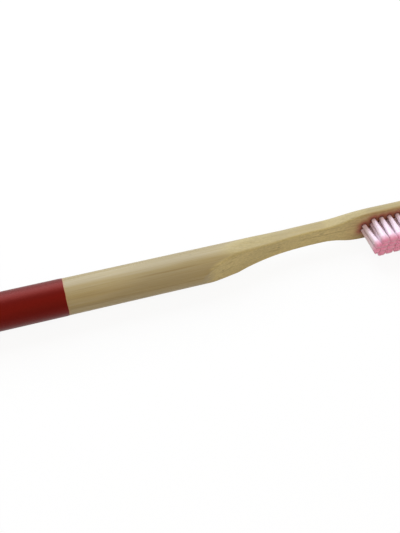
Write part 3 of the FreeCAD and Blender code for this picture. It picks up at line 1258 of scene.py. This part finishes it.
    def build(self) -> list[Piece]:
        """Model every tuft from copies of one filament.

        Returns:
            The tufts' pieces.
        """
        template, sides = self.rod(self.sides, 2 * len(self.leg_reach), self.tip_round)
        core, core_sides = self.rod(self.core_sides, len(self.core_reach) - 1, 1.0)
        rings = np.concatenate([self.leg_reach, [self.fold_reach], self.leg_reach[::-1]])
        reach = rings[np.rint(template[:, 2]).astype(int)]
        core_reach = self.core_reach[np.rint(core[:, 2]).astype(int)]
        material = self.finish.material()
        pieces = []
        mouths = np.array([self.mouth(node) for node in self.nodes])
        middle = mouths.mean(axis=0)
        for number, (node, mouth) in enumerate(zip(self.nodes, mouths), start=1):
            place = (mouth[0] - middle[0]) / (mouths[:, 0].max() - middle[0])
            narrowed = 1 - (1 - np.array(self.end_fan)) * self.end_share(place)
            self.fan = np.array(self.fan_radius) * narrowed
            height = (mouth[2] - middle[2]) / MM
            lean = self.draw.normal(0, self.lean_jitter, 2) + self.lean(place, height)
            laid = self.lay(template, self.paths(lean))
            count = len(laid)
            points = np.concatenate([laid.reshape(-1, 3), self.core(core, lean)])
            faces = [
                [corner + copy * len(template) for corner in face]
                for copy in range(count)
                for face in sides
            ]
            faces += [[corner + count * len(template) for corner in face] for face in core_sides]
            mesh = bpy.data.meshes.new(f"filaments_{number:02d}")
            mesh.from_pydata(points * MM + mouth, [], faces)
            mesh.polygons.foreach_set("use_smooth", [True] * len(faces))
            piece = bpy.data.objects.new(mesh.name, mesh)
            bpy.context.collection.objects.link(piece)
            set_mask(piece, Mask.REACH, np.concatenate([np.tile(reach, count), core_reach]))
            tints = np.repeat(self.draw.random(count), len(template))
            set_mask(piece, Mask.TINT, np.concatenate([tints, np.full(len(core), self.core_tint)]))
            self.dress(piece, node, material)
            pieces.append(piece)
        return pieces

    def dress(self, piece: Piece, node: str, material: bpy.types.Material) -> None:
        """Close a tuft's normals outwards, give it its finish and let it stand for its node.

        Args:
            piece: the tuft.
            node: the CAD node that it stands for.
            material: its finish.
        """
        with editing(piece):
            bpy.ops.mesh.normals_make_consistent(inside=False)
        piece.data.materials.append(material)
        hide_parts(node)
        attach(piece, BODY)


@dataclass
class Anchors:
    """The anchor plates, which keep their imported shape."""

    node: str = "tuft_anchors"
    finish: BrassFinish = field(default_factory=BrassFinish)

    def dress(self) -> Piece:
        """Give the plates their finish.

        Returns:
            The plates' CAD node.
        """
        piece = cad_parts[self.node]
        piece.data.materials.clear()
        piece.data.materials.append(self.finish.material())
        return piece


@dataclass(frozen=True)
class SoftBox:
    """A square lamp that faces the brush, with its place and side in metres and its power in watts."""

    name: str
    place: Triple
    side: float
    power: float
    tint: str

    def hang(self) -> None:
        """Add the lamp to the scene."""
        bpy.ops.object.light_add(type="AREA", location=self.place)
        lamp = bpy.context.object
        lamp.name = self.name
        lamp.data.shape = "SQUARE"
        lamp.data.size = self.side
        lamp.data.energy = self.power
        lamp.data.color = linear(self.tint)[:3]
        lamp.rotation_euler = (-Vector(self.place)).to_track_quat("-Z", "Y").to_euler()


@dataclass
class Studio:
    """A white paper floor, a cool key lamp behind, a weak warm fill in front, and the photo's camera."""

    image: tuple[int, int] = (400, 533)
    focal_pixels: float = 662.8
    camera_place: Triple = (-0.02875, -0.11488, 0.1644)
    camera_right: Triple = (0.9555, -0.2938, 0.0285)
    camera_up: Triple = (0.2153, 0.7599, 0.6133)
    sensor: float = 36.0
    clip_start: float = 0.01
    paper: str = "#FBFBFB"
    bounce: str = "#D6D6D6"
    paper_glow: float = 0.92
    paper_drop: float = 0.25
    paper_side: float = 3.0
    key: SoftBox = SoftBox("key_box", (0.02, 0.42, 0.43), 0.5, 4.55, "#E6F1FF")
    fill: SoftBox = SoftBox("fill_box", (-0.03, -0.33, 0.33), 0.6, 0.92, "#FFF0DA")
    sky: float = 0.3
    sky_tint: str = "#FFF0DA"

    def build(self) -> None:
        """Set up floor, light, world and camera."""
        self.floor()
        self.key.hang()
        self.fill.hang()
        self.world()
        self.camera()
        bpy.context.scene.view_settings.view_transform = "Standard"

    def looked_at(self, add: AddNode) -> bpy.types.Node:
        """A node that gives 1 for rays that the camera, a mirror or glass looks along, else 0.

        Args:
            add: the function that adds a node to the tree.

        Returns:
            The node.
        """
        path = add("LightPath").outputs
        either = add("Math", {"operation": "MAXIMUM"}, {0: path["Is Camera Ray"], 1: path["Is Glossy Ray"]})
        return add("Math", {"operation": "MAXIMUM"}, {0: either, 1: path["Is Transmission Ray"]})

    def floor(self) -> None:
        """A paper floor that looks white and keeps the object's shadow."""
        bpy.ops.mesh.primitive_plane_add(size=self.paper_side, location=(0, 0, -self.paper_drop * MM))
        sheet = new_piece("paper_floor")
        material, add = new_material("white_studio_paper")
        seen = self.looked_at(add)
        share = add("Math", {"operation": "MULTIPLY", 1: self.paper_glow}, {0: seen})
        tones = {MixIn.COLOUR_A: linear(self.bounce), MixIn.COLOUR_B: linear(self.paper)}
        colour = add("Mix", {"data_type": "RGBA", **tones}, {MixIn.FACTOR: seen})
        matt = add("BsdfDiffuse", {}, {"Color": colour})
        glow = add("Emission", {"Color": WHITE, "Strength": 1.0})
        mixed = add("MixShader", {}, {0: share, 1: matt, 2: glow})
        add("OutputMaterial", {}, {"Surface": mixed})
        sheet.data.materials.append(material)

    def world(self) -> None:
        """A plain surround that the camera, mirrors and glass see as white."""
        world = bpy.data.worlds.new("white_surround")
        world.use_nodes = True
        world.node_tree.nodes.clear()
        add = partial(add_node, world.node_tree)
        seen = self.looked_at(add)
        strength = add("MapRange", spanned(0.0, 1.0, self.sky, 1.0), {"Value": seen})
        tones = {MixIn.COLOUR_A: linear(self.sky_tint), MixIn.COLOUR_B: WHITE}
        colour = add("Mix", {"data_type": "RGBA", **tones}, {MixIn.FACTOR: seen})
        glow = add("Background", {}, {"Color": colour, "Strength": strength})
        add("OutputWorld", {}, {"Surface": glow})
        bpy.context.scene.world = world

    def camera(self) -> None:
        """The photograph's camera."""
        data = bpy.data.cameras.new("photograph")
        data.sensor_width = self.sensor
        data.lens = self.focal_pixels / max(self.image) * self.sensor
        data.clip_start = self.clip_start
        camera = bpy.data.objects.new("photograph", data)
        bpy.context.collection.objects.link(camera)
        right = Vector(self.camera_right).normalized()
        up = Vector(self.camera_up)
        up = (up - right * up.dot(right)).normalized()
        back = right.cross(up)
        turn = Matrix((right, up, back)).transposed().to_4x4()
        camera.matrix_world = Matrix.Translation(self.camera_place) @ turn
        bpy.context.scene.camera = camera


def main() -> None:
    """Build and dress the brush, piece by piece, then the studio."""
    logging.basicConfig(level=logging.INFO, format="%(name)s: %(message)s")
    axis = GripAxis.from_coat()
    nodes = sorted(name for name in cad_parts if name.startswith("tuft_") and name[-1].isdigit())
    tufts = TuftField(nodes)
    handle = Handle(axis, [tufts.mouth(node)[::2] for node in nodes])
    wood = handle.build()
    handle.dress(wood)
    LOG.info("%s: %d faces", wood.name, len(wood.data.polygons))
    film = DipFilm(axis)
    paint = film.build()
    film.dress(paint)
    LOG.info("%s: %d faces", paint.name, len(paint.data.polygons))
    for tuft in tufts.build():
        LOG.info("%s: %d faces", tuft.name, len(tuft.data.polygons))
    plates = Anchors().dress()
    LOG.info("%s: %d faces", plates.name, len(plates.data.polygons))
    Studio().build()


if __name__ == "__main__":
    main()
